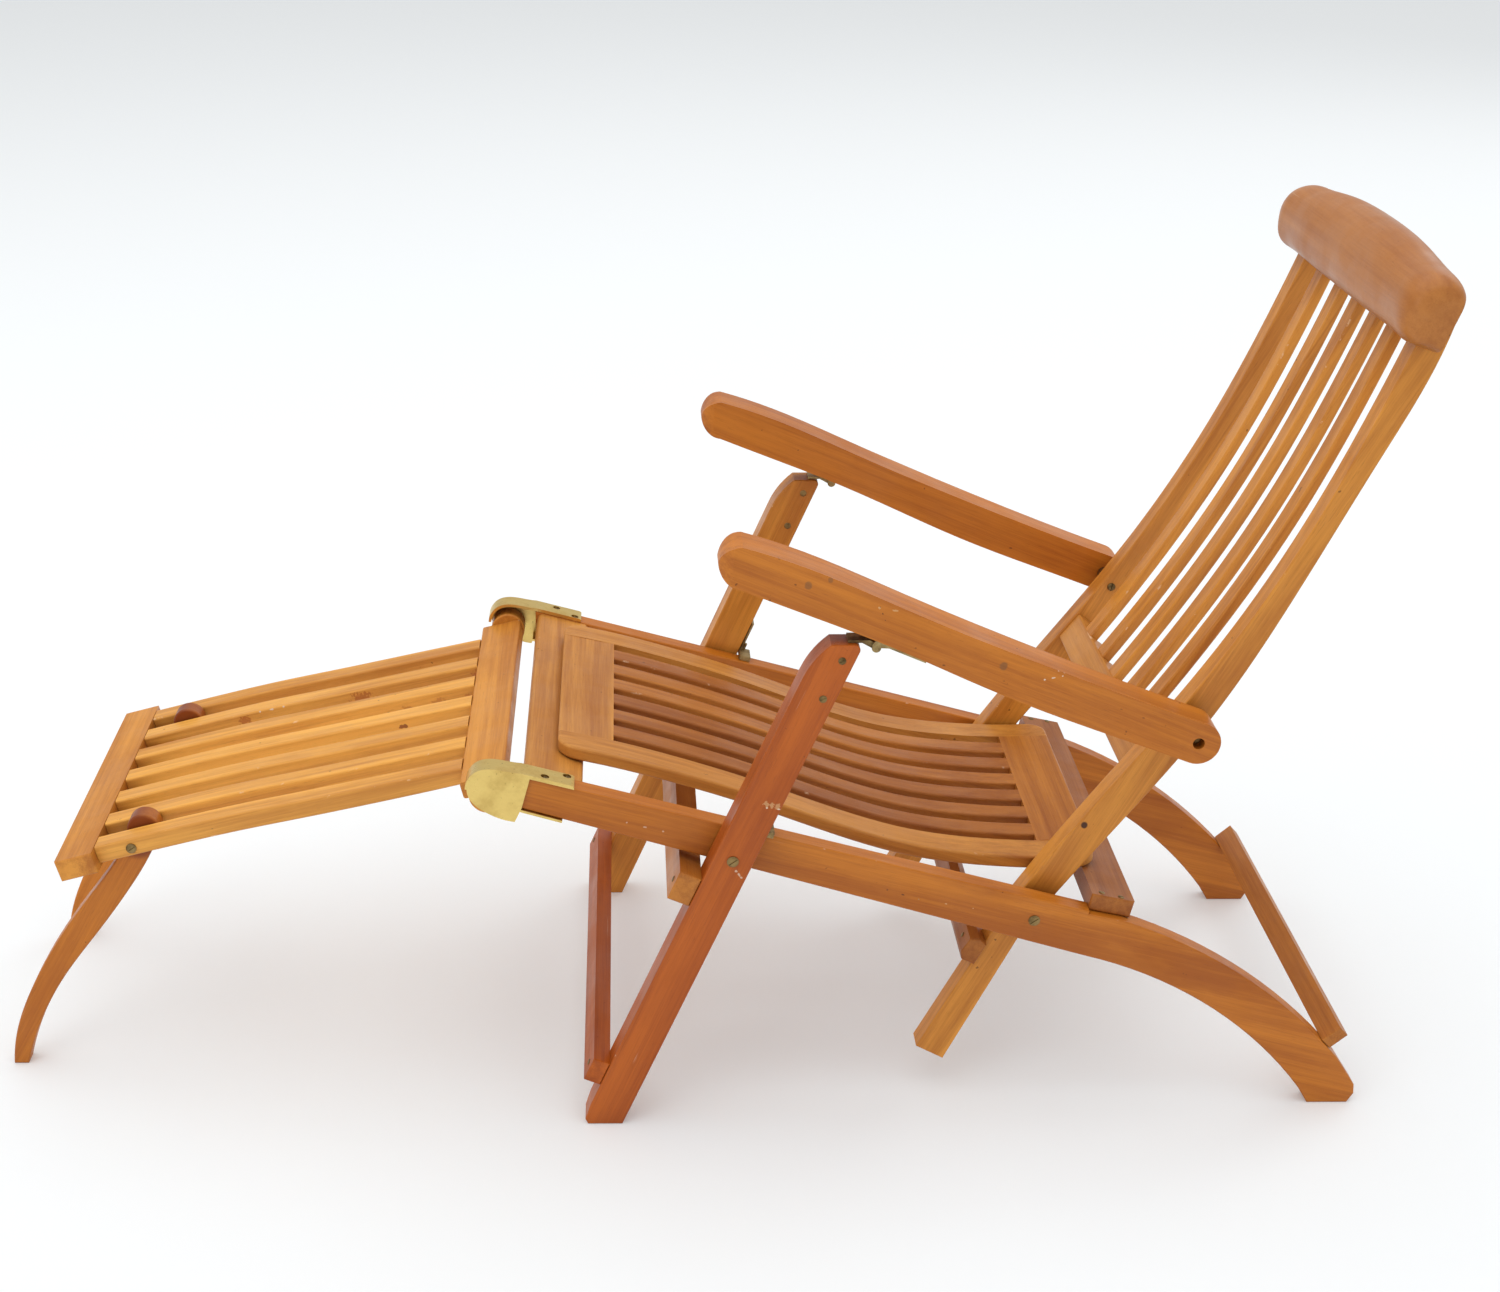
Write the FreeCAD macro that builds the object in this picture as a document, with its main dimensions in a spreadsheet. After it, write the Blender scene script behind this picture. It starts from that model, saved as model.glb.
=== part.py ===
# Folding wooden deck chair with a leg rest, opened out for use.
# Units are millimetres. +Z is up, +X runs from the leg rest to the back and -Y is the sitter's left.
# The origin lies on the floor, at the middle of the chair's length and width.
import FreeCAD, Part
import math
import os

V = FreeCAD.Vector
DOC = FreeCAD.newDocument("deck_chair")
SIDES = {"left": -1, "right": 1}

# ---------------------------------------------------------------- driving dimensions
DIMS = {
    "rail_inner": 231.0, "rail_thickness": 24.0,
    "leg_inner": 257.0, "leg_thickness": 34.0,
    "stile_inner": 188.0, "stile_thickness": 30.0,
    "arm_inner": 238.0, "arm_width": 50.0, "arm_taper": 8.0,
    "seat_half": 183.0, "seat_side_width": 40.0, "seat_slat_width": 29.0, "seat_slat_pitch": 45.0,
    "back_slat_width": 28.0, "back_slat_depth": 12.0, "back_slat_pitch": 65.0,
    "rest_slat_width": 29.0, "rest_slat_pitch": 58.8,
    "rest_leg_middle": 147.1, "rest_leg_thickness": 24.0,
    "knee_board_half": 228.0, "end_board_half": 206.0, "batten_half": 131.0,
    "rear_board_half": 245.0, "rear_stretcher_half": 255.0, "front_stretcher_half": 290.0,
    "back_stretcher_half": 228.0, "headrest_half": 250.0,
    "bracket_plate": 3.0, "bolt_radius": 4.0, "running_gap": 0.05,
}
SHEET = DOC.addObject("Spreadsheet::Sheet", "dims")
for row, (alias, number) in enumerate(DIMS.items(), start=1):
    SHEET.set("A%d" % row, alias)
    SHEET.set("B%d" % row, str(number))
    SHEET.setAlias("B%d" % row, alias)
DOC.recompute()


def dim(alias):
    """The value of a driving dimension."""
    return float(getattr(SHEET, alias))


# ---------------------------------------------------------------- pivots, as (x, z)
LEG_PIVOT = (56.0, 342.0)
BACK_PIVOT = (400.0, 246.0)
ARM_HINGE = (204.0, 594.0)
ARM_PIVOT = (558.0, 478.0)
KNEE_PIVOT = (-213.0, 405.0)
REST_LEG_PIVOT = (-626.0, 309.0)


# ---------------------------------------------------------------- helpers
def curves(path):
    """Sketch geometry of a closed outline. Each later item is a point for a straight line,
    ("arc", middle, end) or ("curve", [points]) for a smooth curve on to its last point."""
    here = V(path[0][0], path[0][1], 0)
    start = here
    geometry = []
    for item in path[1:]:
        if item[0] == "arc":
            middle, end = [V(p[0], p[1], 0) for p in item[1:]]
            geometry.append(Part.Arc(here, middle, end))
        elif item[0] == "curve":
            points = [here] + [V(p[0], p[1], 0) for p in item[1]]
            spline = Part.BSplineCurve()
            spline.interpolate(points)
            geometry.append(spline)
            end = points[-1]
        else:
            end = V(item[0], item[1], 0)
            geometry.append(Part.LineSegment(here, end))
        here = end
    if here.sub(start).Length > 1e-6:
        geometry.append(Part.LineSegment(here, start))
    return geometry


def sketch_in(body, name, geometry, role="XZ_Plane"):
    """A sketch on one of the body's own origin planes."""
    plane = [item for item in body.Origin.OriginFeatures if item.Role == role][0]
    sketch = body.newObject("Sketcher::SketchObject", name)
    sketch.AttachmentSupport = (plane, "")
    sketch.MapMode = "FlatFace"
    for item in geometry:
        sketch.addGeometry(item, False)
    return sketch


def board(name, path, width, middle_y="0", soft=0.0, holes=(), wanted=None):
    """A body with the outline `path` in the XZ plane, `width` across Y. `width` and `middle_y` are
    expressions. `holes` are bored right through, then the edges that `wanted` picks out, or all those
    round both faces, are softened by the radius `soft`."""
    body = DOC.addObject("PartDesign::Body", name)
    body.Label = name
    sketch = sketch_in(body, name + "_outline", curves(path))
    pad = body.newObject("PartDesign::Pad", name + "_pad")
    pad.Profile = sketch
    pad.Midplane = True
    pad.setExpression("Length", width)
    body.setExpression("Placement.Base.y", middle_y)
    DOC.recompute()
    for centre in holes:
        drill(body, centre)
    if soft:
        soften(body, body.Tip, soft, wanted or on_a_face)
    return body


def on_a_face(edge, box):
    """True for an edge that lies in one of the two faces across Y."""
    ends = edge.BoundBox
    flat = ends.YLength < 1e-4 and not edge.Closed
    return flat and min(abs(ends.YMin - box.YMin), abs(ends.YMax - box.YMax)) < 1e-3


def lengthwise(edge, box):
    """True for a long edge of a slat, in one of its two faces across Y."""
    return on_a_face(edge, box) and edge.BoundBox.XLength > 0.5 * box.XLength


def across(edge, box):
    """True for a straight edge that runs right across Y."""
    return edge.BoundBox.YLength > 0.9 * box.YLength and edge.BoundBox.XLength < 1e-3


def soften(body, base, radius, wanted):
    """Round the edges of `base` that `wanted` picks out."""
    shape = base.Shape
    names = ["Edge%d" % (i + 1) for i, edge in enumerate(shape.Edges) if wanted(edge, shape.BoundBox)]
    fillet = body.newObject("PartDesign::Fillet", base.Name + "_soft")
    fillet.Base = (base, names)
    fillet.Radius = radius
    DOC.recompute()
    return fillet


def drill(body, centre):
    """A round hole right through the body along Y, with running clearance for a bolt."""
    circle = Part.Circle(V(centre[0], centre[1], 0), V(0, 0, 1), dim("bolt_radius") + dim("running_gap"))
    sketch = sketch_in(body, body.Name + "_hole", [circle])
    pocket = body.newObject("PartDesign::Pocket", body.Name + "_bore")
    pocket.Profile = sketch
    pocket.Type = "ThroughAll"
    pocket.Midplane = True
    DOC.recompute()
    return pocket


def store(name, solids):
    """A sub-part of one or more separate solids that are given as shapes."""
    feature = DOC.addObject("Part::Feature", name)
    feature.Label = name
    feature.Shape = solids[0] if len(solids) == 1 else Part.makeCompound(solids)
    return feature


def slab(path, y_low, y_high):
    """A solid with the outline `path` in the XZ plane between two Y values."""
    edges = [item.toShape() for item in curves(path)]
    face = Part.Face(Part.Wire(Part.__sortEdges__(edges)))
    solid = face.extrude(V(0, 0, y_high - y_low))
    solid.rotate(V(0, 0, 0), V(1, 0, 0), 90)
    solid.translate(V(0, y_high, 0))
    return solid


def mid_expression(inner, thickness, sign):
    """The Y of the middle of a member, from its inner face and thickness."""
    return "%d * (dims.%s + dims.%s / 2)" % (sign, inner, thickness)


def offset_points(points, distance):
    """Points moved to the right of the way the curve runs, by `distance`."""
    moved = []
    for i, (x, z) in enumerate(points):
        before = points[max(i - 1, 0)]
        after = points[min(i + 1, len(points) - 1)]
        run = math.hypot(after[0] - before[0], after[1] - before[1])
        along = ((after[0] - before[0]) / run, (after[1] - before[1]) / run)
        moved.append((x + along[1] * distance, z - along[0] * distance))
    return moved


def box_path(corner, length, height, angle):
    """A rectangle from its lower left corner, turned by `angle` degrees."""
    c = math.cos(math.radians(angle))
    s = math.sin(math.radians(angle))
    x, z = corner
    return [(x, z), (x + c * length, z + s * length),
            (x + c * length - s * height, z + s * length + c * height), (x - s * height, z + c * height)]


def screw_head(x, y, z, direction, radius, height=1.0, turn=0.0):
    """A low bevelled head with a slot, its flat side at the point, facing along `direction`."""
    wall = 0.5 * height
    head = Part.makeCylinder(radius, wall).fuse(Part.makeCone(radius, 0.7 * radius, height - wall, V(0, 0, wall)))
    slot = Part.makeBox(2.4 * radius, 0.24 * radius, height, V(-1.2 * radius, -0.12 * radius, 0.45 * height))
    slot.rotate(V(0, 0, 0), V(0, 0, 1), turn)
    head = head.cut(slot)
    head.Placement = FreeCAD.Placement(V(x, y, z), FreeCAD.Rotation(V(0, 0, 1), direction))
    return head


def bolt(pivot, sign, inner, outer, head_radius=6.5, head_height=2.0, end_height=2.0):
    """A bolt along Y between two |y| values, with a slotted head outside and a round end inside."""
    x, z = pivot
    shank = Part.makeCylinder(dim("bolt_radius"), outer - inner, V(x, sign * inner, z), V(0, sign, 0))
    head = screw_head(x, sign * outer, z, V(0, sign, 0), head_radius, head_height, 35)
    end = screw_head(x, sign * inner, z, V(0, -sign, 0), head_radius - 0.5, end_height, 80)
    return shank.fuse([head, end]).removeSplitter()


def ring(pivot, sign, inner, outer, radius):
    """A washer or spacer along Y, bored for a bolt."""
    x, z = pivot
    bore = dim("bolt_radius") + dim("running_gap")
    length = outer - inner
    body = Part.makeCylinder(radius, length, V(x, sign * inner, z), V(0, sign, 0))
    return body.cut(Part.makeCylinder(bore, length, V(x, sign * inner, z), V(0, sign, 0)))


# ---------------------------------------------------------------- seat frame
RAIL_TOP = [(450.0, 260.1), (618.0, 189.0), (766.0, 61.0)]
RAIL_SLOPE = 0.271


def rail_top(x):
    """Height of the straight part of the side rails' top edge."""
    return 260.1 + RAIL_SLOPE * (450.0 - x)


def on_rail_curve(x):
    """The point of the rails' curved top edge at x, and the slope angle there in degrees."""
    arc = Part.Arc(*[V(px, 0, pz) for px, pz in RAIL_TOP]).toShape().Curve
    centre, radius = arc.Center, arc.Radius
    z = centre.z + math.sqrt(radius ** 2 - (x - centre.x) ** 2)
    return z, -math.degrees(math.asin((x - centre.x) / radius))


REAR_BOARD = box_path((461.5, 253.5), 50.0, 21.0, -12.4)


def side_rails():
    """Long rails that run straight under the seat and curve down to the floor behind it."""
    path = [(-177, 390), (-177, rail_top(-177)), RAIL_TOP[0], ("arc", RAIL_TOP[1], RAIL_TOP[2]),
            (790, 24), (791, 12), (784, 0), (737, 0), (725, 20), ("arc", (598, 139), (460, 199.5))]
    for side, sign in SIDES.items():
        rail = board("side_rail_" + side, path, "dims.rail_thickness",
                     mid_expression("rail_inner", "rail_thickness", sign), 0, (LEG_PIVOT, BACK_PIVOT))
        housing = sketch_in(rail, "housing_" + side, curves(REAR_BOARD))
        cut = rail.newObject("PartDesign::Pocket", "housing_cut_" + side)
        cut.Profile = housing
        cut.Type = "ThroughAll"
        cut.Midplane = True
        DOC.recompute()
        soften(rail, cut, 2.0, on_a_face)


def cross_boards():
    """The board across the rails' front ends, the one behind the seat and the one on the feet."""
    left = (-177.4, rail_top(-172) - 1.5 - 19.3)
    front = board("front_cross_board", box_path(left, 66.5, 20.0, -15.16), "2 * dims.rail_inner")
    soften(front, front.Tip, 6.0, across)
    board("rear_cross_board", REAR_BOARD, "2 * dims.rear_board_half", "0", 2.5)
    z = on_rail_curve(745.0)[0]
    lower_z = on_rail_curve(754.2)[0]
    angle = math.degrees(math.atan2(lower_z - z, 9.2))
    foot_path = box_path((745.2, z + 0.3), 15.0, 26.0, angle)
    board("rear_foot_stretcher", foot_path, "2 * dims.rear_stretcher_half", "0", 2.0)


def seat_outline(x_low, x_high):
    """Part of the dished seat panel in side view, between two X values."""
    top = [(-138, 434), (-60, 416), (-2, 399), (80, 371.5), (172, 336), (272, 304.5),
           (350, 293), (405, 289.5), (482, 291)]
    spline = Part.BSplineCurve()
    spline.interpolate([V(x, 0, z) for x, z in top])
    middle = [p for p in top if x_low + 8 < p[0] < x_high - 8]
    ends = [height_at(spline, x) for x in (x_low, x_high)]
    upper = [(x_low, ends[0])] + middle + [(x_high, ends[1])]
    lower = [(x, z - 16.0) for x, z in reversed(upper)]
    upper_run = ("curve", upper[1:])
    lower_run = ("curve", lower[1:])
    return [upper[0], upper_run, lower[0], lower_run]


def height_at(spline, x):
    """Height of a curve in the XZ plane at x."""
    low, high = spline.FirstParameter, spline.LastParameter
    for _ in range(50):
        middle = (low + high) / 2
        if spline.value(middle).x < x:
            low = middle
        else:
            high = middle
    return spline.value(low).z


def seat_panel():
    """A dished frame of two sides and two ends, with slats between them."""
    for side, sign in SIDES.items():
        middle = "%d * (dims.seat_half - dims.seat_side_width / 2)" % sign
        rail = board("seat_side_rail_" + side, seat_outline(-138, 482), "dims.seat_side_width", middle)
        outer = rail.Tip.Shape.BoundBox.YMax if sign > 0 else rail.Tip.Shape.BoundBox.YMin

        def outer_corner(edge, box, outer=outer):
            upright = edge.BoundBox.ZLength > 10 and edge.BoundBox.XLength < 1e-3
            return upright and abs(edge.BoundBox.YMax - outer) < 1e-3

        def outer_rim(edge, box, outer=outer):
            return edge.BoundBox.YLength < 1e-3 and abs(edge.BoundBox.YMax - outer) < 1e-3

        corners = soften(rail, rail.Tip, 24.0, outer_corner)
        soften(rail, corners, 3.0, outer_rim)
    width = "2 * (dims.seat_half - dims.seat_side_width)"
    front = board("seat_front_rail", seat_outline(-138, -75), width)
    soften(front, front.Tip, 3.0, lambda edge, box: across(edge, box) and edge.BoundBox.XMax < -130)
    rear = board("seat_rear_rail", seat_outline(419, 482), width)
    soften(rear, rear.Tip, 3.0, lambda edge, box: across(edge, box) and edge.BoundBox.XMin > 470)
    for number in range(1, 7):
        middle = "(%g) * dims.seat_slat_pitch" % (number - 3.5)
        board("seat_slat_%d" % number, seat_outline(-75, 419), "dims.seat_slat_width", middle, 3.0, (), lengthwise)


FLANGE_TOP = [(-224, 436), (-211, 439), (-198, 437.5), (-177, 433), (-118, 417)]


def corner_brackets():
    """Brass castings over the rails' front ends: an outer cheek, a top flange and a lower strap, with
    the stub that the leg rest's knuckle turns on."""
    inner = dim("rail_inner")
    face = dim("rail_inner") + dim("rail_thickness")
    outer = face + dim("bracket_plate")
    cheek = [(-166, rail_top(-166) + 2), ("curve", [(-198, 436), (-211, 437.5), (-224, 434.5), (-233, 425),
                                                     (-236, 413), (-231, 400), (-216, 387), (-197, 378),
                                                     (-184, 375)]), (-176, 392)]
    over = [(-118, rail_top(-118) + 0.1), (-118, rail_top(-118) + 3.6), (-121, rail_top(-121) + 4.4),
            (-177, rail_top(-177) + 4.4), ("curve", [(-198, 438), (-211, 439.5), (-224, 437), (-234, 428),
                                                       (-238, 415)]),
            (-234.6, 415), ("curve", [(-231, 426), (-222.5, 433.6), (-211, 435.8), (-198, 434.4),
                                      (-177, rail_top(-177) + 0.1)])]
    strap_left = (-182.0, 391.3 - 3.0)
    under = box_path(strap_left, 52.0, 2.8, -16.65)
    for side, sign in SIDES.items():
        low, high = sorted((sign * face, sign * outer))
        wall = slab(cheek, low, high)
        low, high = sorted((sign * inner, sign * outer))
        flange = slab(over, low, high)
        for x, y in ((-150, 250), (-126, 236)):
            flange = flange.cut(Part.makeCylinder(4.7, 20, V(x, sign * y, 410)))
        strap = slab(under, low, high)
        stub = Part.makeCylinder(dim("bolt_radius"), face - inner - 1, V(KNEE_PIVOT[0], sign * face, KNEE_PIVOT[1]),
                                 V(0, -sign, 0))
        store("corner_bracket_" + side, [wall.fuse([flange, strap, stub]).removeSplitter()])


def frame_fasteners():
    """Screw heads on the brackets and boards, and the washers on the frame's own pivots."""
    heads = []
    up = V(RAIL_SLOPE, 0, 1)
    rear_up = V(math.sin(math.radians(12.4)), 0, math.cos(math.radians(12.4)))
    for sign in SIDES.values():
        for x, y in ((-150, 250), (-126, 236)):
            heads.append(screw_head(x + 0.2, sign * y, rail_top(x) + 0.1, up, 3.6, 3.0, 90))
        for x, y in ((478, 237), (500, 239)):
            z = REAR_BOARD[3][1] - math.tan(math.radians(12.4)) * (x - REAR_BOARD[3][0])
            heads.append(screw_head(x, sign * y, z, rear_up, 3.5, 0.8, 20))
    store("frame_screws", heads)
    washers = []
    for sign in SIDES.values():
        washers.append(ring(LEG_PIVOT, sign, 255.05, 256.95, 9.0))
        washers.append(ring(BACK_PIVOT, sign, 218.05, 230.95, 9.0))
    store("frame_washers", washers)


# ---------------------------------------------------------------- back
BACK_FRONT = [(374, 238), (470, 378), (575, 525), (664, 680), (733, 838), (757.96, 903.9)]
HEAD_ANGLE = 69.3


def head_point(up, forward):
    """A point given along and in front of the back's top, measured from the headrest's lower edge."""
    c, s = math.cos(math.radians(HEAD_ANGLE)), math.sin(math.radians(HEAD_ANGLE))
    return (758 + c * up - s * forward, 904 + s * up + c * forward)


def back_stiles():
    """The curved stiles that run from below the seat up to the headrest, housed for it at the top."""
    stiles = []
    path = [(280, 56), BACK_FRONT[0], ("curve", BACK_FRONT[1:]), head_point(-0.1, -13.2), head_point(50, -13.2),
            ("arc", head_point(58, -17), head_point(56, -24.5)),
            ("curve", [(783, 884), (738, 782), (668, 632), (585, 475), (483, 331), (391, 202)]),
            (312, 39)]
    for side, sign in SIDES.items():
        stiles.append(board("back_stile_" + side, path, "dims.stile_thickness",
                            mid_expression("stile_inner", "stile_thickness", sign), 2.0, (BACK_PIVOT, ARM_PIVOT)))
    return stiles


def back_slat_path(recess):
    """Side outline of a back slat, set behind the stiles' front edge by `recess`."""
    upper = [(514, 435), (575, 525), (664, 680), (733, 838), (757.9, 903.8)]
    front = offset_points(upper, recess)
    rear = offset_points(upper, recess + dim("back_slat_depth"))
    return [front[0], ("curve", front[1:]), rear[-1], ("curve", list(reversed(rear))[1:])]


def back_panel():
    """Five slats between the lower rail and the headrest. The rail is notched for the slats' ends."""
    recesses = [2.0, 4.5, 4.5, 4.5, 2.0]
    slats = []
    for number, recess in enumerate(recesses, start=1):
        middle = "(%g) * dims.back_slat_pitch" % (number - 3)
        slats.append(board("back_slat_%d" % number, back_slat_path(recess), "dims.back_slat_width", middle, 2.5,
                           (), lengthwise))
    rail_path = [(496, 409), (520, 441), (537.6, 427.8), (513.6, 395.8)]
    half = dim("stile_inner")
    rail = slab(rail_path, -half, half)
    edges = [edge for edge in rail.Edges if edge.BoundBox.YLength > half]
    rail = rail.makeFillet(3.0, edges)
    grow = dim("running_gap")
    for slat in slats:
        box = slat.Shape.BoundBox
        notch = slab([(505, 436), (520, 450), (550, 430), (534, 414)], box.YMin - grow, box.YMax + grow)
        rail = rail.cut(notch.common(slab(box_path((516.5, 427.0), 40.0, 40.0, -37.0), box.YMin - 1, box.YMax + 1)))
        rail = rail.cut(slat.Shape)
    store("back_lower_rail", [rail.Solids[0]])
    return slats


def headrest_section(y, top, low, depth):
    """Closed outline across the headrest at one Y: flat behind and below, rounded in front and on top."""
    reach = [(low + 7, 29), (low + 22, 37), (0.5 * top, 41), (0.77 * top, 37), (0.92 * top, 26), (top, 8),
             (top - 3, -6), (top - 8, -13)]
    points = [head_point(low, -13), head_point(low, -13 + 31 * depth)]
    curve = [head_point(up, -13 + (out + 13) * depth) for up, out in reach]
    edges = [item.toShape() for item in curves([points[0], points[1], ("curve", curve)])]
    wire = Part.Wire(Part.__sortEdges__(edges))
    wire.rotate(V(0, 0, 0), V(1, 0, 0), 90)
    wire.translate(V(0, y, 0))
    return wire


def headrest(stood_on):
    """A thick board with a rounded front, an arched top and rounded ends, housed for the stiles and
    slats that it stands on."""
    half = dim("headrest_half")
    stations = []
    for inset, drop, low, depth in ((0, 16, 9, 0.5), (2.5, 8, 5, 0.72), (8, 3, 2, 0.88), (18, 0, 0, 0.97),
                                    (45, 0, 0, 1.0), (130, 0, 0, 1.0)):
        y = half - inset
        stations.append((y, 92 - 19 * (y / half) ** 2 - drop, low, depth))
    stations = [(-y, top, low, depth) for y, top, low, depth in stations] + [(0, 92, 0, 1.0)] + stations[::-1]
    solid = Part.makeLoft([headrest_section(*station) for station in stations], True)
    for piece in stood_on:
        solid = solid.cut(piece.Shape)
    store("headrest", [max(solid.Solids, key=lambda part: part.Volume)])


def back_stretcher():
    """A short bar across the front edges of the stiles, below the rails."""
    path = [(353.0, 198.3), (345, 206), (334, 206), (324, 190), (325, 180), (339.8, 172.5)]
    board("back_stretcher", path, "2 * dims.back_stretcher_half", "0", 2.0)


def back_fasteners():
    """The bolts on which back and arms turn, the arms' spacers and the screws of the stretcher."""
    bolts = []
    spacers = []
    heads = []
    for sign in SIDES.values():
        bolts.append(bolt(BACK_PIVOT, sign, 188.0, 255.0, 6.5, 1.5, 2.0))
        bolts.append(bolt(ARM_PIVOT, sign, 188.0, 268.1, 5.5, 1.5, 2.5))
        spacers.append(ring(ARM_PIVOT, sign, 218.05, 237.95, 8.0))
        heads.append(screw_head(329.0, sign * 203.0, 198.0, V(-0.848, 0, 0.530), 3.0, 0.8, 20))
    store("back_bolts", bolts)
    store("back_screws", heads)
    store("arm_spacers", spacers)


# ---------------------------------------------------------------- front legs
LEG_SLOPE = (0.3945, 0.9189)


def leg_front(z):
    """X of the front edge of the front legs at a height."""
    return -103.0 + (z - 26.0) * 0.4293


def front_legs():
    """Straight slanting legs outside the rails, with two stretchers on their front edges."""
    path = [(-103, 26), (leg_front(560), 560), ("arc", (138.7, 581.1), (156, 598.5)), (180, 598.5),
            ("arc", (186, 596), (186.5, 590)), (-66, 0), (-106, 0), (-109, 6)]
    for side, sign in SIDES.items():
        leg = board("front_leg_" + side, path, "dims.leg_thickness",
                    mid_expression("leg_inner", "leg_thickness", sign), 2.0, (LEG_PIVOT,))
    for name, low_z, length, depth in (("upper_front_stretcher", 285.0, 36.0, 26.0),
                                       ("lower_front_stretcher", 52.0, 30.0, 20.0)):
        corner = (leg_front(low_z) - 0.1, low_z)
        board(name, box_path(corner, length, depth, 66.8), "2 * dims.front_stretcher_half", "0", 2.5)


def leg_catches():
    """Small brass stops on the legs' rear edges that bear on the rails' top edges."""
    solids = []
    for sign in SIDES.values():
        foot = (90.6, 364.0)
        plate = slab(box_path(foot, 40.0, -2.5, 66.8), *sorted((sign * 257.5, sign * 275.0)))
        lug = slab(box_path((88.2, rail_top(88.2) + 0.3), 14.0, 7.0, -15.16), *sorted((sign * 236, sign * 262.0)))
        eye = slab(box_path((93.0, 361.0), 12.0, -2.5, 66.8), *sorted((sign * 257.5, sign * 262.0)))
        leg = slab([(leg_front(300), 300), (leg_front(450), 450), (-66 + 450 * 0.4288, 450), (-66 + 300 * 0.4288, 300)],
                   *sorted((sign * 256.9, sign * 292.0)))
        piece = plate.fuse([lug, eye]).cut(leg).removeSplitter()
        solids.append(max(piece.Solids, key=lambda solid: solid.Volume))
    store("leg_catches", solids)


def leg_hinges(armrests):
    """Brass straps on the legs' tops that end in a barrel behind the leg, and the leaves on the arms'
    undersides with an ear on each side of the barrel."""
    x, z = ARM_HINGE
    strap = [(174, 598.7), (174, 601.7), (197, 601.7), (206.2, 596.8), ("arc", (207, 591.3), (201.2, 591.9)),
             (189, 598.7)]
    straps = []
    for side, sign in SIDES.items():
        straps.append(slab(strap, *sorted((sign * 262.0, sign * 284.0))))
        leaf = slab([(217, 597.2), (258, 579.2), (257, 576.6), (216, 594.2)], *sorted((sign * 258.5, sign * 287.5)))
        ear_path = [(199.0, 594.0), ("arc", (x, z - 5.0), (209.0, 594.0)), (222, 593.4), (222, 595.5), (216, 598.2),
                    (204, 602.5), (200, 599)]
        ears = [slab(ear_path, *sorted((sign * low, sign * high))) for low, high in ((258.5, 261.0), (285.0, 287.5))]
        under_arm = leaf.fuse(ears).cut(armrests[side].Shape).removeSplitter()
        store("arm_leaf_" + side, [max(under_arm.Solids, key=lambda solid: solid.Volume)])
    store("leg_hinges", straps)


def leg_fasteners():
    """Pivot bolts and screw heads of the front legs and their stretchers."""
    bolts = []
    heads = []
    for sign in SIDES.values():
        bolts.append(bolt(LEG_PIVOT, sign, 231.0, 291.0, 6.5, 2.0, 2.0))
        for x, z in ((168, 581), (149, 537)):
            heads.append(screw_head(x, sign * 291.0, z, V(0, sign, 0), 4.2, 0.8, 30))
            heads.append(screw_head(x, sign * 257.0, z, V(0, -sign, 0), 4.2, 0.8, 60))
        for low_z, length, depth in ((285.0, 36.0, 26.0), (52.0, 30.0, 20.0)):
            x = leg_front(low_z) + LEG_SLOPE[0] * length / 2 - LEG_SLOPE[1] * depth - 0.2
            z = low_z + LEG_SLOPE[1] * length / 2 + LEG_SLOPE[0] * depth
            heads.append(screw_head(x, sign * 274.0, z, V(-LEG_SLOPE[1], 0, LEG_SLOPE[0]), 3.6, 0.8, 10))
    store("leg_pivot_bolts", bolts)
    store("leg_screws", heads)


# ---------------------------------------------------------------- arms
def arms():
    """Flat arms, rounded at the front, tapering to the bolt through the stile."""
    path = [(36, 686), ("arc", (43, 700), (61, 707.5)), ("curve", [(140, 680), (229, 640), (400, 566), (567, 500.3)]),
            ("arc", (582, 476), (550, 455.4)), ("curve", [(507, 472), (372, 525), (216, 597), (100, 644), (60, 660)]),
            ("arc", (42, 670), (36, 686))]
    armrests = {}
    for side, sign in SIDES.items():
        arm = board("armrest_" + side, path, "dims.arm_width", mid_expression("arm_inner", "arm_width", sign))
        half = dim("arm_width") / 2
        edge = sign * half
        plan = [(300, edge + sign * 20), (300, edge), ("curve", [(420, edge - sign * 4), (620, edge - sign * 8)]),
                (620, edge + sign * 20)]
        taper = sketch_in(arm, "taper_" + side, curves(plan), "XY_Plane")
        cut = arm.newObject("PartDesign::Pocket", "taper_cut_" + side)
        cut.Profile = taper
        cut.Type = "ThroughAll"
        cut.Midplane = True
        DOC.recompute()
        nose = [(20, sign * (half + 10)), (20, -sign * (half + 10)), (52, -sign * (half + 10)), (52, -sign * half),
                ("arc", (39, -sign * (half - 8)), (34, 0)), ("arc", (39, sign * (half - 8)), (52, sign * half)),
                (52, sign * (half + 10))]
        front = sketch_in(arm, "nose_" + side, curves(nose), "XY_Plane")
        tip = arm.newObject("PartDesign::Pocket", "nose_cut_" + side)
        tip.Profile = front
        tip.Type = "ThroughAll"
        tip.Midplane = True
        DOC.recompute()
        drill(arm, ARM_PIVOT)
        sink = sketch_in(arm, "sink_" + side, [Part.Circle(V(ARM_PIVOT[0], ARM_PIVOT[1], 0), V(0, 0, 1), 6.5)])
        sink.AttachmentOffset = FreeCAD.Placement(V(0, 0, -sign * 5.0), FreeCAD.Rotation())
        pocket = arm.newObject("PartDesign::Pocket", "sink_cut_" + side)
        pocket.Profile = sink
        pocket.Length = 60
        pocket.Reversed = sign < 0
        DOC.recompute()
        armrests[side] = arm
    return armrests


# ---------------------------------------------------------------- leg rest
REST_TOP = [(-668.7, 309.6), (-570, 335.5), (-500, 352.5), (-433, 367), (-352, 385), (-246.4, 408.4)]


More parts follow.
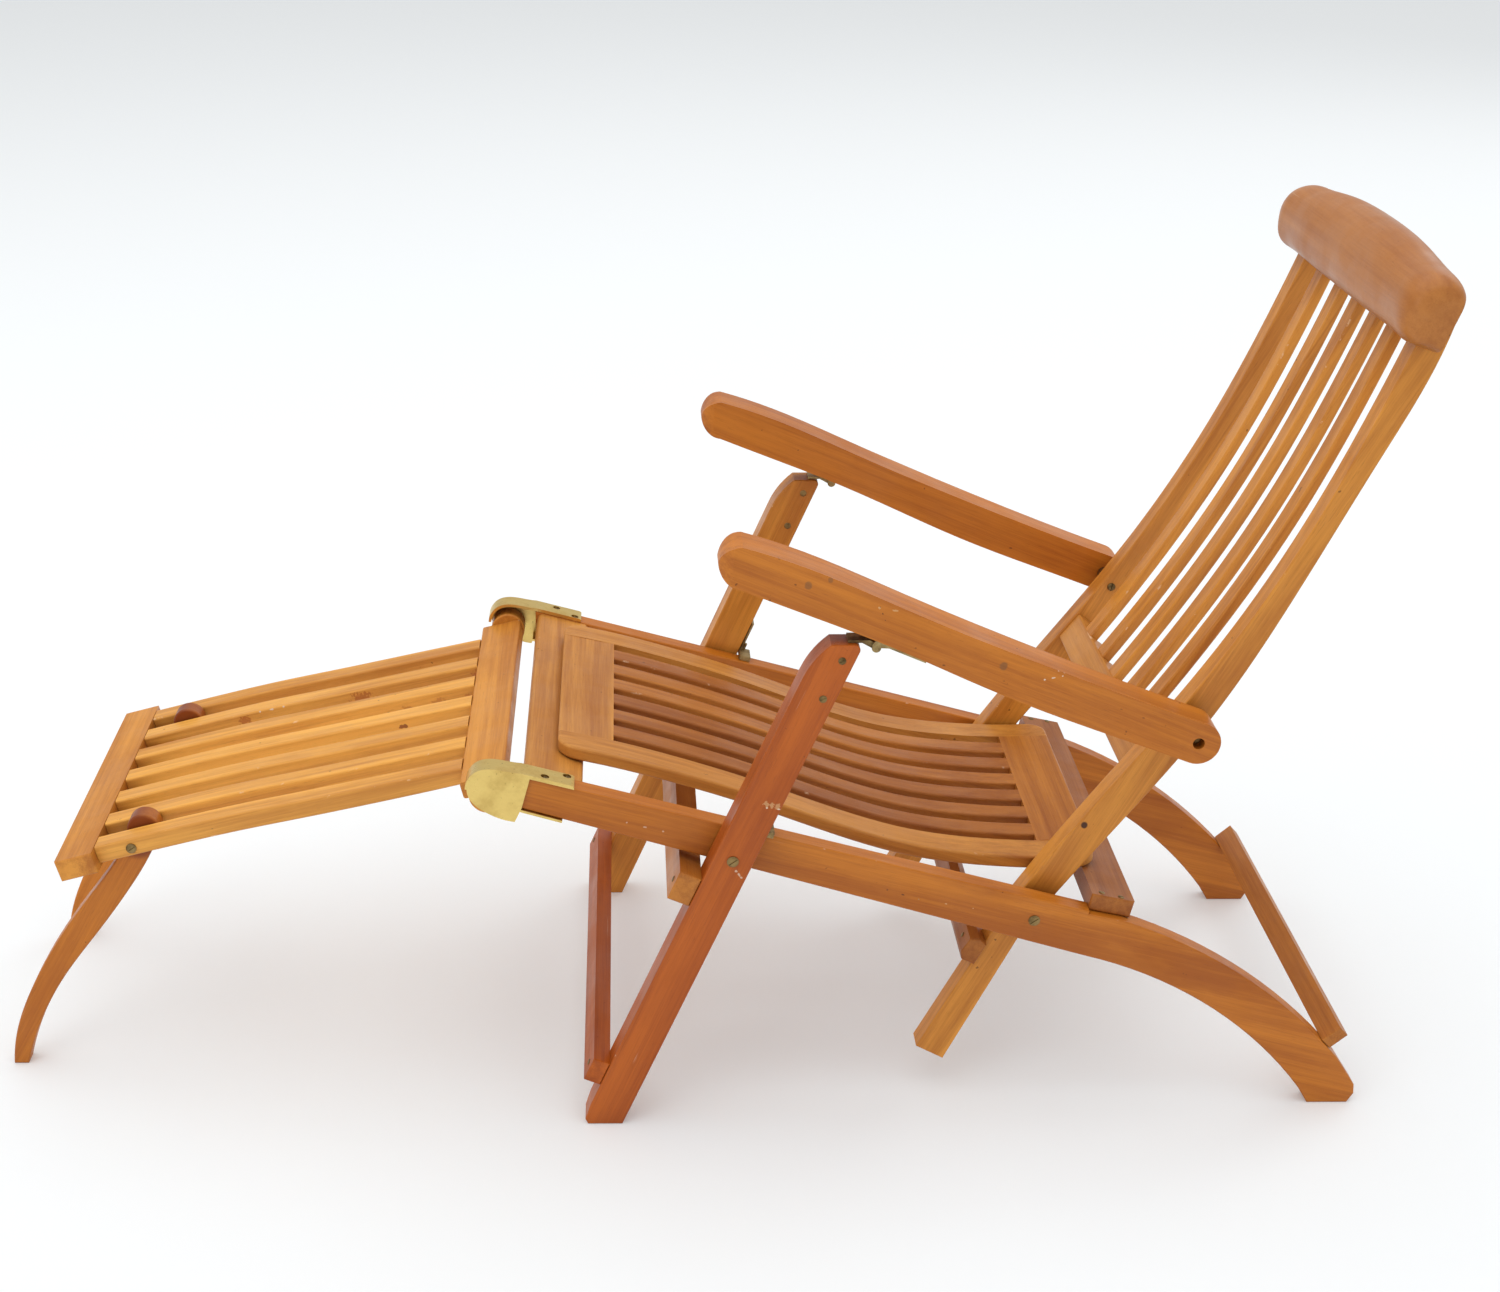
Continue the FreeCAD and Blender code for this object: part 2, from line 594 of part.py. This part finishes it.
def rest_panel():
    """Seven lengthwise slats between the end board and the knee board."""
    lower = [(x + 1.5, z - 22.0) for x, z in reversed(REST_TOP)]
    lower[0] = (-241.6, 388.9)
    lower[-1] = (-663.2, 289.0)
    path = [REST_TOP[0], ("curve", REST_TOP[1:]), lower[0], ("curve", lower[1:])]
    for number in range(1, 8):
        middle = "(%g) * dims.rest_slat_pitch" % (number - 4)
        holes = (REST_LEG_PIVOT,) if number in (1, 7) else ()
        board("footrest_slat_%d" % number, path, "dims.rest_slat_width", middle, 3.0, holes, lengthwise)


def rest_boards():
    """The knee board, the board at the foot end and the batten under the slats beside it."""
    knee = board("knee_board", box_path((-241.4, 388.7), 50.5, 20.0, 13.8), "2 * dims.knee_board_half")
    soften(knee, knee.Tip, 3.0, across)
    board("foot_end_board", box_path((-705.5, 273.5), 44.5, 26.0, 15.0), "2 * dims.end_board_half", "0", 2.5)
    board("foot_batten", box_path((-660.0, 277.0), 22.0, 12.0, 13.0), "2 * dims.batten_half", "0", 1.5)


def knee_knuckles():
    """Round wooden cheeks on the knee board's ends, bored for the brackets' stubs."""
    x, z = KNEE_PIVOT
    solids = []
    for sign in SIDES.values():
        low, high = sorted((sign * dim("knee_board_half"), sign * 253.5))
        cheek = Part.makeCylinder(21.5, high - low, V(x, low, z), V(0, 1, 0))
        bore = Part.makeCylinder(dim("bolt_radius") + dim("running_gap"), high - low, V(x, low, z), V(0, 1, 0))
        rim = [edge for edge in cheek.Edges if edge.Closed]
        solids.append(cheek.makeFillet(2.0, rim).cut(bore))
    store("knee_knuckles", solids)


def rest_legs():
    """Curved legs in the outer gaps of the slats, with a round top that stands up above them."""
    path = [(-637.0, 316.0), ("arc", (-618, 335), (-599.0, 316.0)),
            ("curve", [(-605, 300), (-639, 241), (-678, 187), (-733, 113), (-770, 40), (-783, 0)]), (-800.5, 0),
            ("curve", [(-793, 44), (-767, 108), (-727, 176), (-676, 245), (-646, 290), (-637, 316)])]
    for side, sign in SIDES.items():
        middle = "%d * dims.rest_leg_middle" % sign
        board("footrest_leg_" + side, path, "dims.rest_leg_thickness", middle, 2.5, (REST_LEG_PIVOT,))


def rest_fasteners():
    """Domed bolts through the outer slats into the leg rest's legs."""
    bolts = []
    outer = 3 * dim("rest_slat_pitch") + dim("rest_slat_width") / 2
    inner = dim("rest_leg_middle") - dim("rest_leg_thickness") / 2
    for sign in SIDES.values():
        bolts.append(bolt(REST_LEG_PIVOT, sign, inner, outer, 6.0, 2.5, 1.0))
    store("footrest_bolts", bolts)


def build():
    """Every sub-part of the chair."""
    side_rails()
    cross_boards()
    seat_panel()
    corner_brackets()
    frame_fasteners()
    headrest(back_stiles() + back_panel())
    back_stretcher()
    back_fasteners()
    front_legs()
    leg_catches()
    leg_fasteners()
    leg_hinges(arms())
    rest_panel()
    rest_boards()
    knee_knuckles()
    rest_legs()
    rest_fasteners()
    DOC.recompute()


def subparts():
    """The objects that are written out, one file each."""
    return [item for item in DOC.Objects if item.TypeId in ("PartDesign::Body", "Part::Feature")]


def check_and_write():
    """Stop at anything invalid, then write one STEP file per sub-part."""
    for item in DOC.Objects:
        if "Invalid" in item.State or "Error" in item.State:
            raise RuntimeError("%s is %s" % (item.Name, item.State))
    os.makedirs("parts", exist_ok=True)
    for item in subparts():
        shape = item.Shape
        if shape.isNull() or not shape.isValid() or not shape.Solids:
            raise RuntimeError("%s has no valid solid" % item.Label)
        shape.exportStep("parts/%s.step" % item.Label)


build()
check_and_write()
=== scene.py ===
import math
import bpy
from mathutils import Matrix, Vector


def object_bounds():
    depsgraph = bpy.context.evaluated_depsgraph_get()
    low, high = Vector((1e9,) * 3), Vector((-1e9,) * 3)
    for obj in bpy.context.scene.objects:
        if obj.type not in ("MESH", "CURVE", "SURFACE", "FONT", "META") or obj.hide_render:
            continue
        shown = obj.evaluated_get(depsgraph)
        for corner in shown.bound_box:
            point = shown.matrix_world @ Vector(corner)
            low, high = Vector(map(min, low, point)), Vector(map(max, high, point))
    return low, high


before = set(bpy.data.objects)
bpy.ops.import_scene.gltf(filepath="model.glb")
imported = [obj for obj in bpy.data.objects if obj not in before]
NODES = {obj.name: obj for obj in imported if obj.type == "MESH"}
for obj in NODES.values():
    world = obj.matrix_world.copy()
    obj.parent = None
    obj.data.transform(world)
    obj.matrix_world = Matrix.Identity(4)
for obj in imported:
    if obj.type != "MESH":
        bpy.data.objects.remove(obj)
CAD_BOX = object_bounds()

import zlib

import bpy
from mathutils import Euler, Vector

SIDES = ("left", "right")


# ---------------------------------------------------------------- node graphs
class Graph:
    """A material's node tree, with short calls for the nodes that the finishes use."""

    def __init__(self, name):
        self.material = bpy.data.materials.new(name)
        self.material.use_nodes = True
        self.tree = self.material.node_tree
        self.tree.nodes.clear()

    def node(self, kind, inputs, output=0, **settings):
        """A node with its inputs set or linked; gives back one of its outputs."""
        made = self.tree.nodes.new(kind)
        for key, value in settings.items():
            setattr(made, key, value)
        for key, value in inputs.items():
            socket = made.inputs[key]
            if isinstance(value, bpy.types.NodeSocket):
                self.tree.links.new(value, socket)
            else:
                socket.default_value = value
        return made.outputs[output]

    def math(self, operation, a, b=0.0, clamp=False):
        return self.node("ShaderNodeMath", {0: a, 1: b}, operation=operation, use_clamp=clamp)

    def span(self, value, low, high, to_low=0.0, to_high=1.0):
        """value carried from low..high to to_low..to_high, with soft ends."""
        return self.node("ShaderNodeMapRange", {0: value, 1: low, 2: high, 3: to_low, 4: to_high},
                         interpolation_type="SMOOTHSTEP")

    def mix(self, factor, a, b):
        """Colour a where factor is 0, colour b where it is 1."""
        return self.node("ShaderNodeMix", {0: factor, 6: a, 7: b}, 2, data_type="RGBA")

    def move(self, vector, rotation=(0, 0, 0), scale=(1, 1, 1), shift=(0, 0, 0)):
        return self.node("ShaderNodeMapping",
                         {"Vector": vector, "Rotation": rotation, "Scale": scale, "Location": shift})

    def noise(self, vector, scale=1.0, detail=3.0, roughness=0.5, output=0):
        values = {"Vector": vector, "Scale": scale, "Detail": detail, "Roughness": roughness}
        return self.node("ShaderNodeTexNoise", values, output)

    def vector_math(self, operation, a, b=None, factor=None, output=0):
        values = {0: a}
        if b is not None:
            values[1] = b
        if factor is not None:
            values[3] = factor
        return self.node("ShaderNodeVectorMath", values, output, operation=operation)

    def length(self, vector):
        return self.vector_math("LENGTH", vector, output=1)

    def split(self, vector, axis):
        return self.node("ShaderNodeSeparateXYZ", {0: vector}, axis)

    def finish(self, surface):
        output = self.tree.nodes.new("ShaderNodeOutputMaterial")
        self.tree.links.new(surface, output.inputs["Surface"])
        return self.material


def seeded(name, spread=7.0):
    """A shift that is always the same for a name, so that each board has a figure of its own."""
    number = zlib.crc32(name.encode())
    return tuple(((number >> bits) % 997) / 997 * spread for bits in (0, 9, 18))


def darker(colour, factor):
    return tuple(channel * factor for channel in colour[:3]) + (1.0,)


# ---------------------------------------------------------------- wood
class Tone:
    """One shade of varnished wood: its middle colour, how strong its figure is and how worn it is."""

    def __init__(self, red, green, blue, figure=1.0, wear=0.5, gloss=0.42, scuffs=0.4):
        self.light = (min(1.0, red * (1 + 0.22 * figure)), green * (1 + 0.34 * figure),
                      blue * (1 + 0.50 * figure), 1.0)
        self.dark = (red * (1 - 0.26 * figure), green * (1 - 0.36 * figure),
                     blue * (1 - 0.42 * figure), 1.0)
        self.worn = (0.5 + 0.5 * red, 0.42 + 0.5 * green, 0.30 + 0.5 * blue, 1.0)
        self.wear = wear
        self.gloss = gloss
        self.scuffs = scuffs


TONES = {
    "yellow": Tone(0.76, 0.34, 0.055),
    "honey": Tone(0.60, 0.225, 0.028),
    "amber": Tone(0.50, 0.148, 0.011),
    "tan": Tone(0.55, 0.215, 0.034),
    "umber": Tone(0.44, 0.155, 0.030, 0.6, wear=0.0, gloss=0.36),
    "russet": Tone(0.43, 0.090, 0.006),
    "chestnut": Tone(0.44, 0.145, 0.018),
    "brown": Tone(0.37, 0.115, 0.014),
}


class Mark:
    """A crack, scratch, stain, worn place or dot of painted shade: a line between two (x, z) points in mm
    and its half width.
    """

    def __init__(self, start, end, half_width, colour, strength=0.9, ragged=1.0):
        self.start = start
        self.end = end
        self.half_width = half_width
        self.colour = colour
        self.strength = strength
        self.ragged = ragged


# ---------------------------------------------------------------- marks on the near side's faces
MM = 0.001
REST_LEG_PIVOT = (-626, 309)
PALE = (0.78, 0.62, 0.46, 1.0)
WORN = (0.70, 0.44, 0.20, 1.0)
# Near-black, for real cracks and for painted shade in a recessed bolt hole.
CRACK_AND_HOLE_SHADE = (0.045, 0.014, 0.006, 1.0)
PLUG = (0.16, 0.075, 0.028, 1.0)
RED = (0.36, 0.062, 0.008, 1.0)
KNOB = (0.20, 0.035, 0.007, 1.0)
MARKS = {
    "armrest_left": [
        Mark((206, 641), (212, 626), 0.5, CRACK_AND_HOLE_SHADE, 0.9, 0.3),
        Mark((130, 665), (130, 666), 3.8, PLUG, 0.55, 0.2),
        Mark((153, 671), (153, 672), 2.6, PLUG, 0.5, 0.2),
        Mark((340, 572), (340, 573), 4.0, PLUG, 0.6, 0.2),
        Mark((385, 556), (404, 560), 0.9, PALE),
        Mark((399, 566), (412, 563), 0.8, PALE),
        Mark((205, 640), (240, 634), 1.0, WORN, 0.6, 2.0),
        Mark((470, 520), (520, 500), 0.8, CRACK_AND_HOLE_SHADE, 0.4, 2.0),
    ],
    "front_leg_left": [
        Mark((92, 408), (118, 404), 0.9, PALE, 0.9),
        Mark((90, 412), (104, 409), 2.5, WORN, 0.5, 2.0),
        Mark((60, 330), (66, 322), 1.2, PALE, 0.6),
    ],
    "side_rail_left": [
        Mark((232, 286), (268, 274), 0.9, CRACK_AND_HOLE_SHADE, 0.7, 0.6),
        Mark((268, 274), (330, 262), 0.7, WORN, 0.7, 0.6),
        Mark((-60, 372), (-20, 361), 0.9, PALE, 0.5),
    ],
    # Painted shade: the dark dot on the left stile stands for the shade inside the seat pivot's recessed
    # bolt hole.
    "back_stile_left": [Mark((456, 347), (456, 348), 3.6, CRACK_AND_HOLE_SHADE, 0.95, 0.1)],
    "back_stile_right": [Mark((470, 372), (480, 392), 0.6, CRACK_AND_HOLE_SHADE, 0.5)],
    "footrest_slat_6": [
        Mark((-540, 333), (-243, 397), 6.5, RED, 0.6, 1.4),
        Mark((-430, 372), (-402, 379), 1.1, PALE),
        Mark((-520, 346), (-490, 353), 1.1, PALE),
    ],
    "footrest_slat_5": [Mark((-330, 377), (-250, 393), 4.0, RED, 0.4, 1.5)],
    "footrest_slat_4": [Mark((-330, 379), (-326, 380), 2.6, KNOB, 0.8, 1.0)],
}


def marked(g, place, colour, marks):
    """Lay each mark over a colour; a mark's border wanders with a fine noise."""
    wander = g.noise(place, 260.0, 3.0, 0.6)
    flat = g.vector_math("MULTIPLY", place, (1 / MM, 0, 1 / MM))
    normal = g.node("ShaderNodeNewGeometry", {}, 1)
    on_side = g.span(g.math("ABSOLUTE", g.split(normal, 1)), 0.5, 0.8)
    for mark in marks:
        start = Vector((mark.start[0], 0, mark.start[1]))
        along = Vector((mark.end[0], 0, mark.end[1])) - start
        offset = g.vector_math("SUBTRACT", flat, tuple(start))
        step = g.vector_math("DOT_PRODUCT", offset, tuple(along / along.length_squared), output=1)
        reach = g.vector_math("SCALE", tuple(along), factor=g.span(step, 0.0, 1.0))
        distance = g.length(g.vector_math("SUBTRACT", offset, reach))
        wobble = g.math("MULTIPLY", g.math("SUBTRACT", wander, 0.5), mark.half_width * 3.0 * mark.ragged)
        distance = g.math("ADD", distance, wobble)
        inside = g.span(distance, mark.half_width * 1.25, mark.half_width * 0.75, 0.0, mark.strength)
        colour = g.mix(g.math("MULTIPLY", inside, on_side), colour, mark.colour)
    return colour


def knob_darkening(g, place, colour):
    """The leg rest's legs are darker round their pivot, where a round knob shows between the slats."""
    pivot = (REST_LEG_PIVOT[0] * MM, 0, REST_LEG_PIVOT[1] * MM)
    flat = g.move(place, scale=(1, 0, 1))
    reach = g.length(g.vector_math("SUBTRACT", flat, pivot))
    return g.mix(g.span(reach, 34 * MM, 24 * MM, 0.0, 0.85), colour, KNOB)


def wood(name, tone, angle=0.0, along_y=False):
    """Varnished wood whose grain runs at `angle` degrees above +X, or along Y."""
    look = TONES[tone]
    g = Graph("wood_" + name)
    place = g.node("ShaderNodeTexCoord", {}, 3)
    turn = (0, 0, math.radians(-90)) if along_y else (0, math.radians(angle), 0)
    board = g.move(place, turn, shift=seeded(name))

    drift = g.noise(g.move(board, scale=(1.6, 8, 8)), 1.0, 2.0, 0.5, 1)
    bent = g.vector_math("ADD", board, g.vector_math("SCALE", drift, factor=0.02))
    streaks = g.noise(g.move(bent, scale=(1.2, 30, 30)), 1.0, 4.0, 0.55)
    lines = g.noise(g.move(bent, scale=(3.0, 150, 150)), 1.0, 4.0, 0.6)
    fibres = g.noise(g.move(board, scale=(16, 620, 620)), 1.0, 3.0, 0.6)
    pores = g.noise(g.move(board, scale=(60, 1500, 1500)), 1.0, 2.0, 0.5)
    blotches = g.noise(g.move(board, scale=(4, 11, 11)), 1.0, 4.0, 0.6)

    figure = g.math("ADD", g.math("MULTIPLY", streaks, 0.55), g.math("MULTIPLY", lines, 0.28))
    figure = g.math("ADD", figure, g.math("MULTIPLY", fibres, 0.17))
    colour = g.mix(g.span(figure, 0.36, 0.64), look.light, look.dark)
    colour = g.mix(g.span(blotches, 0.50, 0.78, 0.0, 0.7), colour, look.dark)
    colour = g.mix(g.span(blotches, 0.50, 0.24, 0.0, 0.6), colour, look.light)
    colour = g.mix(g.span(pores, 0.62, 0.74, 0.0, 0.35), colour, darker(look.dark, 0.5))

    normal = g.node("ShaderNodeNewGeometry", {}, 1)
    # Painted shade: faces that point down are darkened towards a deeper brown, where less light falls.
    up = g.split(normal, 2)
    colour = g.mix(g.span(up, -0.2, -0.75, 0.0, 0.55), colour, darker(look.dark, 0.8))

    if along_y:
        turned = g.move(normal, (0, math.radians(angle), 0))
        parts = [g.math("ABSOLUTE", g.split(turned, axis)) for axis in range(3)]
        flat = g.math("MAXIMUM", g.math("MAXIMUM", parts[0], parts[1]), parts[2])
    else:
        sideways = g.math("ABSOLUTE", g.split(normal, 1))
        upright = g.math("SQRT", g.math("SUBTRACT", 1.0, g.math("MULTIPLY", sideways, sideways), True))
        flat = g.math("MAXIMUM", sideways, upright)
    edge = g.span(flat, 0.985, 0.86, 0.0, 1.0 if look.wear else 0.0)
    rub = g.noise(board, 28.0, 5.0, 0.7)
    edge_wear = g.math("MULTIPLY", edge, g.span(rub, 0.70 - 0.14 * look.wear, 0.74 - 0.12 * look.wear))
    colour = g.mix(g.math("MULTIPLY", edge_wear, 0.7), colour, look.worn)
    # Painted shade: colour darkens in crevices and where parts meet, read from an ambient occlusion node.
    crevice_shade = g.node("ShaderNodeAmbientOcclusion", {"Distance": 0.05}, 1, samples=4)
    colour = g.mix(g.span(crevice_shade, 0.75, 0.1, 0.0, 0.55), colour, darker(look.dark, 0.55))

    scratch = g.noise(g.move(board, (0.3, 0.2, 0.45), (9, 260, 120), (3, 1, 2)), 1.0, 3.0, 0.55)
    patch = g.noise(board, 9.0, 2.0, 0.5)
    scuff = g.math("MULTIPLY", g.span(scratch, 0.70, 0.76), g.span(patch, 0.52, 0.62))
    colour = g.mix(g.math("MULTIPLY", scuff, look.scuffs), colour, look.worn)
    knocks = g.noise(board, 95.0, 2.0, 0.5)
    colour = g.mix(g.span(knocks, 0.75, 0.78, 0.0, 0.7), colour, darker(look.dark, 0.3))

    colour = marked(g, place, colour, MARKS.get(name, []))
    if name.startswith("footrest_leg"):
        colour = knob_darkening(g, place, colour)

    smooth = g.noise(board, 17.0, 4.0, 0.6)
    rough = g.math("ADD", g.span(smooth, 0.3, 0.7, look.gloss - 0.07, look.gloss + 0.13),
                   g.math("MULTIPLY", g.math("MAXIMUM", edge_wear, scuff), 0.2))
    pits = g.span(pores, 0.60, 0.72)
    height = g.math("ADD", g.math("MULTIPLY", figure, -0.25), g.math("MULTIPLY", pits, -0.5))
    height = g.math("SUBTRACT", height, g.math("MULTIPLY", edge_wear, 0.6))
    bump = g.node("ShaderNodeBump", {"Strength": 0.35, "Distance": 0.0004, "Height": height})
    surface = g.node("ShaderNodeBsdfPrincipled",
                     {"Base Color": colour, "Roughness": rough, "Normal": bump, "Coat Weight": 0.06,
                      "Coat Roughness": 0.3, "Specular IOR Level": 0.3})
    return g.finish(surface)


# ---------------------------------------------------------------- metal
def brass(name, bright, tarnish, rough=0.34, dirt=0.5):
    """Satin brass with cloudy tarnish, fine rubbing marks and darker spots."""
    g = Graph(name)
    place = g.node("ShaderNodeTexCoord", {}, 3)
    clouds = g.noise(place, 38.0, 5.0, 0.65)
    spots = g.noise(place, 240.0, 3.0, 0.6)
    rubbed = g.noise(g.move(place, (0.2, 0.5, 0.1), (40, 900, 900)), 1.0, 3.0, 0.6)
    colour = g.mix(g.span(clouds, 0.40, 0.72, 0.0, dirt), bright + (1.0,), tarnish + (1.0,))
    colour = g.mix(g.span(spots, 0.64, 0.74, 0.0, 0.6), colour, darker(tarnish, 0.5))
    roughness = g.math("ADD", g.span(clouds, 0.3, 0.7, rough - 0.06, rough + 0.12),
                       g.math("MULTIPLY", g.math("SUBTRACT", rubbed, 0.5), 0.18))
    height = g.math("ADD", g.math("MULTIPLY", rubbed, 0.5), g.math("MULTIPLY", spots, -0.5))
    bump = g.node("ShaderNodeBump", {"Strength": 0.25, "Distance": 0.0002, "Height": height})
    surface = g.node("ShaderNodeBsdfPrincipled",
                     {"Base Color": colour, "Metallic": 1.0, "Roughness": roughness, "Normal": bump})
    return g.finish(surface)


# ---------------------------------------------------------------- what each CAD node is made of
RAIL_ANGLE = -15.2
LEG_ANGLE = 66.8
BACK_ANGLE = 62.0
ARM_ANGLE = -22.5
SEAT_ANGLE = -16.0
REST_ANGLE = 13.8
REST_LEG_ANGLE = 60.0


def boards():
    """Node name, tone, grain angle, and whether the grain runs across the chair."""
    rows = []
    leg_tones = {"left": "russet", "right": "honey"}
    for side in SIDES:
        rows += [
            ("side_rail_" + side, "amber", RAIL_ANGLE, False),
            ("seat_side_rail_" + side, "tan", SEAT_ANGLE, False),
            ("back_stile_" + side, "honey", BACK_ANGLE, False),
            ("front_leg_" + side, leg_tones[side], LEG_ANGLE, False),
            ("armrest_" + side, "amber", ARM_ANGLE, False),
            ("footrest_leg_" + side, "amber", REST_LEG_ANGLE, False),
        ]
    darker_slats = 3
    for number in range(1, 7):
        tone = "brown" if number <= darker_slats else "chestnut"
        rows.append(("seat_slat_%d" % number, tone, SEAT_ANGLE, False))
    rows += [("back_slat_%d" % i, "honey", BACK_ANGLE, False) for i in range(1, 6)]
    rows += [("footrest_slat_%d" % i, "yellow", REST_ANGLE, False) for i in range(1, 8)]
    rows += [("front_cross_board", "tan", RAIL_ANGLE, True),
             ("rear_cross_board", "brown", -12.4, True),
             ("rear_foot_stretcher", "chestnut", -45.0, True), ("seat_front_rail", "tan", SEAT_ANGLE, True),
             ("seat_rear_rail", "chestnut", 0.0, True), ("back_lower_rail", "tan", 53.0, True),
             ("headrest", "umber", 69.3, True), ("back_stretcher", "brown", 60.0, True),
             ("upper_front_stretcher", "chestnut", LEG_ANGLE, True),
             ("lower_front_stretcher", "russet", LEG_ANGLE, True),
             ("knee_board", "honey", REST_ANGLE, True), ("knee_knuckles", "honey", REST_ANGLE, True),
             ("foot_end_board", "honey", 15.0, True), ("foot_batten", "brown", 13.0, True)]
    return rows


def dress(node, material):
    """Give a CAD node one material in place of its plain one."""
    mesh = NODES[node].data
    mesh.materials.clear()
    mesh.materials.append(material)


def dress_all():
    """Wood for every board, bright brass for the brackets, duller brass for hinges, bolts and screws."""
    for node, tone, angle, along_y in boards():
        dress(node, wood(node, tone, angle, along_y))
    plate = brass("brass_plate", (0.76, 0.55, 0.18), (0.50, 0.32, 0.09))
    aged = brass("aged_brass", (0.30, 0.20, 0.08), (0.08, 0.05, 0.022), 0.42, 0.9)
    dull = brass("dull_brass", (0.44, 0.32, 0.14), (0.16, 0.10, 0.045), 0.5, 1.0)
    for node in ("corner_bracket_left", "corner_bracket_right"):
        dress(node, plate)
    for node in ("arm_leaf_left", "arm_leaf_right", "leg_catches", "leg_hinges"):
        dress(node, dull)
    for node in ("frame_screws", "frame_washers", "back_bolts", "arm_spacers", "back_screws",
                 "leg_pivot_bolts", "leg_screws", "footrest_bolts"):
        dress(node, aged)


# ---------------------------------------------------------------- floor, light and camera
def floor():
    """A wide pale floor at the height of the feet."""
    half = 40.0
    mesh = bpy.data.meshes.new("floor")
    corners = [(-half, -half), (half, -half), (half, half), (-half, half)]
    mesh.from_pydata([(x, y, CAD_BOX[0].z) for x, y in corners], [], [(0, 1, 2, 3)])
    ground = bpy.data.objects.new("floor", mesh)
    bpy.context.scene.collection.objects.link(ground)
    g = Graph("pale_floor")
    surface = g.node("ShaderNodeBsdfPrincipled",
                     {"Base Color": (0.79, 0.82, 0.835, 1), "Roughness": 0.9, "Specular IOR Level": 0.1,
                      "Emission Color": (1, 1, 1, 1), "Emission Strength": 0.17})
    mesh.materials.append(g.finish(surface))


def area_light(name, place, aim, size, power):
    """A soft box of the given width and height in metres, aimed at a point."""
    data = bpy.data.lights.new(name, "AREA")
    data.shape = "RECTANGLE"
    data.size, data.size_y = size
    data.energy = power
    lamp = bpy.data.objects.new(name, data)
    lamp.location = place
    lamp.rotation_mode = "QUATERNION"
    lamp.rotation_quaternion = (Vector(aim) - Vector(place)).to_track_quat("-Z", "Y")
    bpy.context.scene.collection.objects.link(lamp)


def light():
    """Large soft boxes above and beside the chair, and an even pale surround."""
    world = bpy.data.worlds.new("studio")
    bpy.context.scene.world = world
    world.use_nodes = True
    background = world.node_tree.nodes["Background"]
    background.inputs["Color"].default_value = (1.0, 1.0, 1.0, 1.0)
    background.inputs["Strength"].default_value = 0.66
    area_light("top_box", (-0.6, 0.2, 6.5), (0, 0.5, 0), (9.0, 9.0), 250)
    area_light("left_box", (-5.0, -5.0, 3.5), (0, 0, 0.4), (4.0, 3.0), 40)
    area_light("back_box", (5.0, 5.0, 4.0), (0, 0, 0.4), (4.0, 3.0), 50)


def camera():
    """A camera in front of the sitter's left side, a little above the arms, looking down."""
    data = bpy.data.cameras.new("camera")
    data.sensor_width = 36.0
    data.lens = 53.826
    data.shift_x = 0.0725
    data.shift_y = 0.0024
    viewer = bpy.data.objects.new("camera", data)
    viewer.location = (-0.064, -2.469, 1.511)
    viewer.rotation_euler = Euler((math.radians(90 - 22.81), 0, math.radians(-0.513)))
    bpy.context.scene.collection.objects.link(viewer)
    bpy.context.scene.camera = viewer


bpy.context.scene.view_settings.view_transform = "Standard"
dress_all()
floor()
light()
camera()
